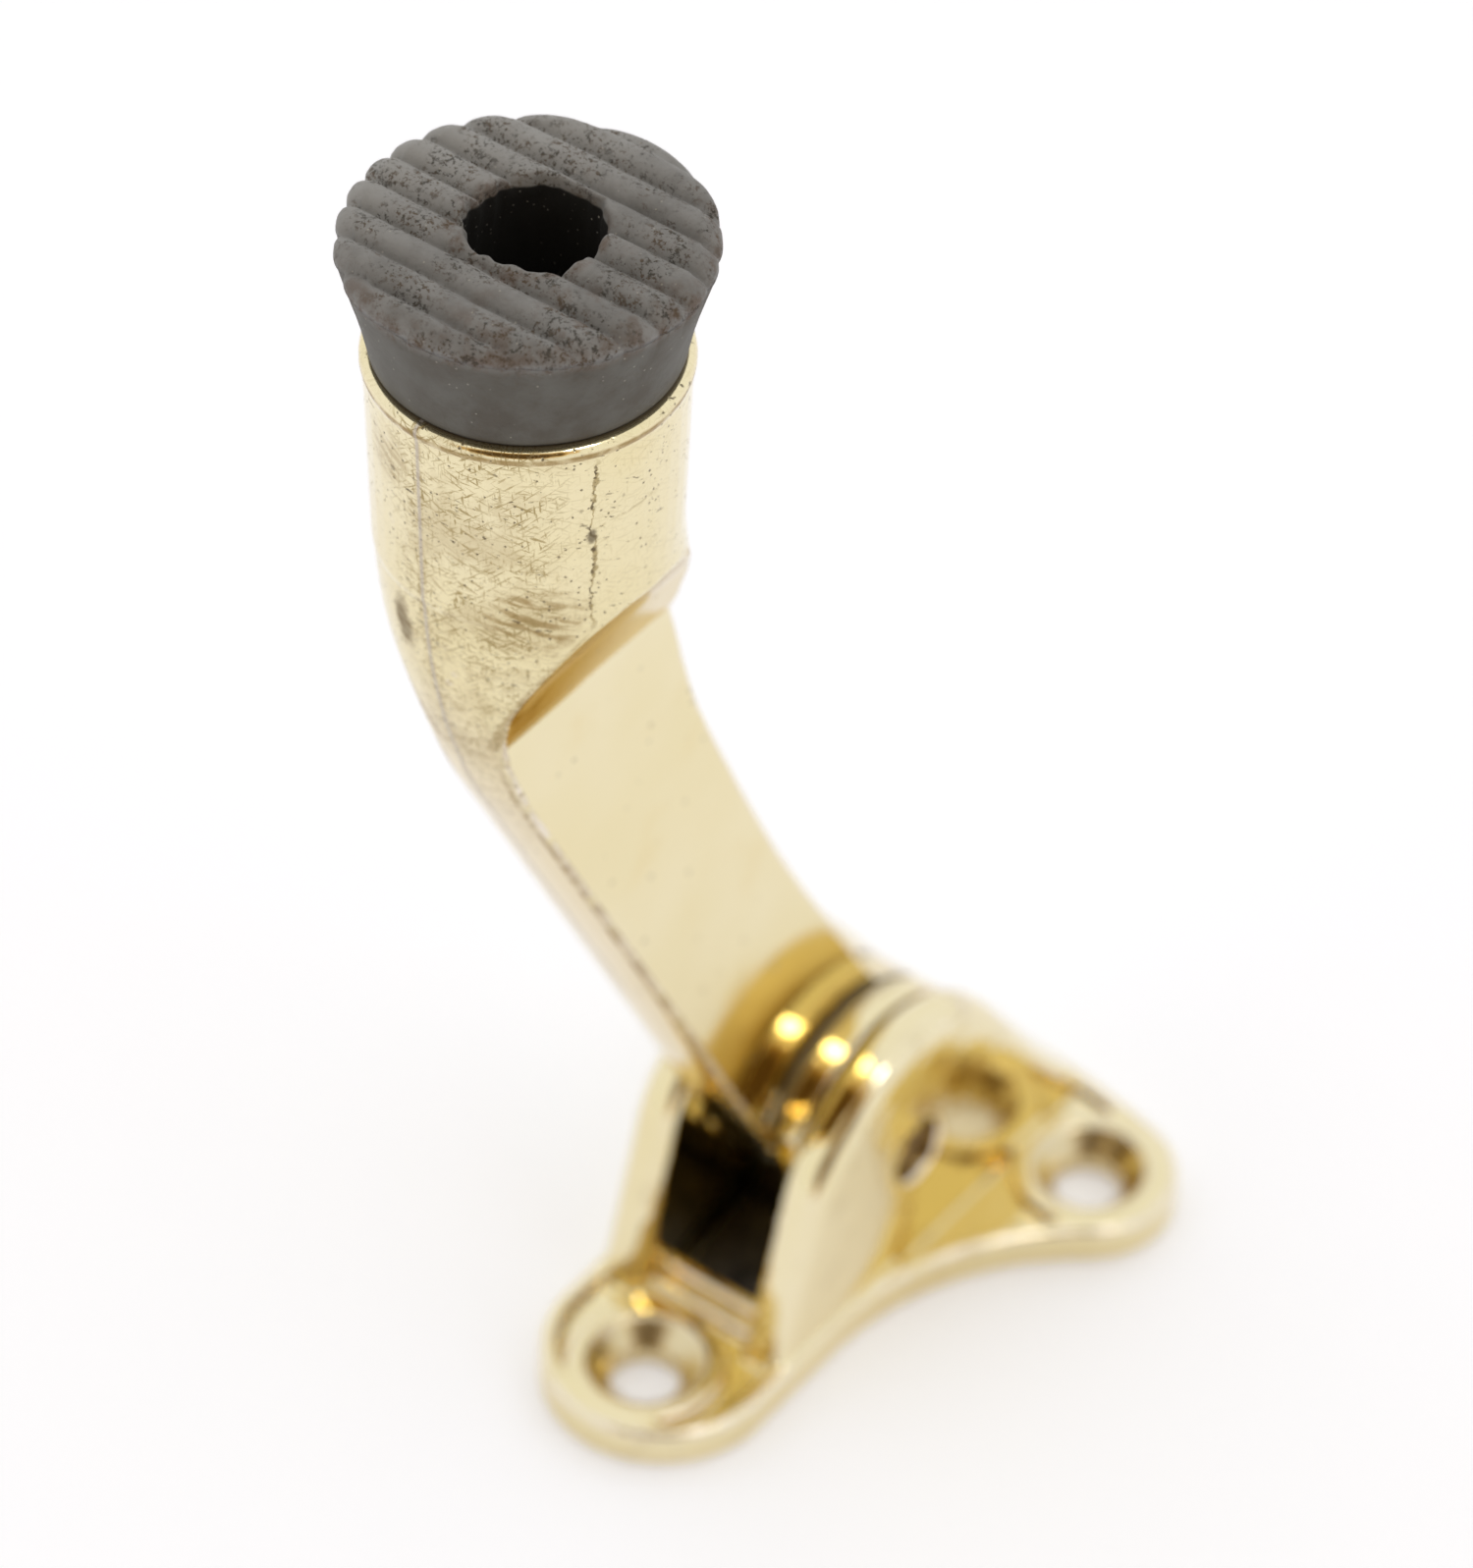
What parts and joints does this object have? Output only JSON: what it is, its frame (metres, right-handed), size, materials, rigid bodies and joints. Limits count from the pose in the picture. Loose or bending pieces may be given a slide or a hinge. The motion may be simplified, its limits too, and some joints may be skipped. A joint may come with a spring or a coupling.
{
  "type": "kick-down door holder",
  "caption": "Brass-plated kick-down door holder: curved die-cast lever with a ribbed grey rubber foot, hinged between the cheeks of a screw-on base.",
  "frame": {"origin": "on the mounting face against the door, directly below the pivot pin, on the middle plane", "axes": "+X along the pivot pin; +Y from the single front screw towards the pair of rear screws; +Z away from the door"},
  "size_m": [0.0386, 0.0647, 0.1094],
  "materials": {
    "brass_plate": "polished bright plating, worn at the edges",
    "dark_steel": "dull",
    "black_spring": "blackened spring steel, satin",
    "zinc_steel": "zinc plated, satin",
    "grey_rubber": "matt, dusty"
  },
  "bodies": {
    "base": {"base_casting": "brass_plate", "pivot_pin": "dark_steel", "leaf_spring": "black_spring", "keeper_plate": "zinc_steel", "keeper_screws": "zinc_steel"},
    "lever": {"lever_arm": "brass_plate", "rubber_foot": "grey_rubber", "foot_screw": "dark_steel", "foot_washer": "dark_steel"}
  },
  "joints": [
    {"name": "lever_swing", "type": "hinge", "parent": "base", "child": "lever", "pos_m": [0, 0, 0.0119], "axis": [1, 0, 0], "range_deg": [-90, 62]}
  ]
}
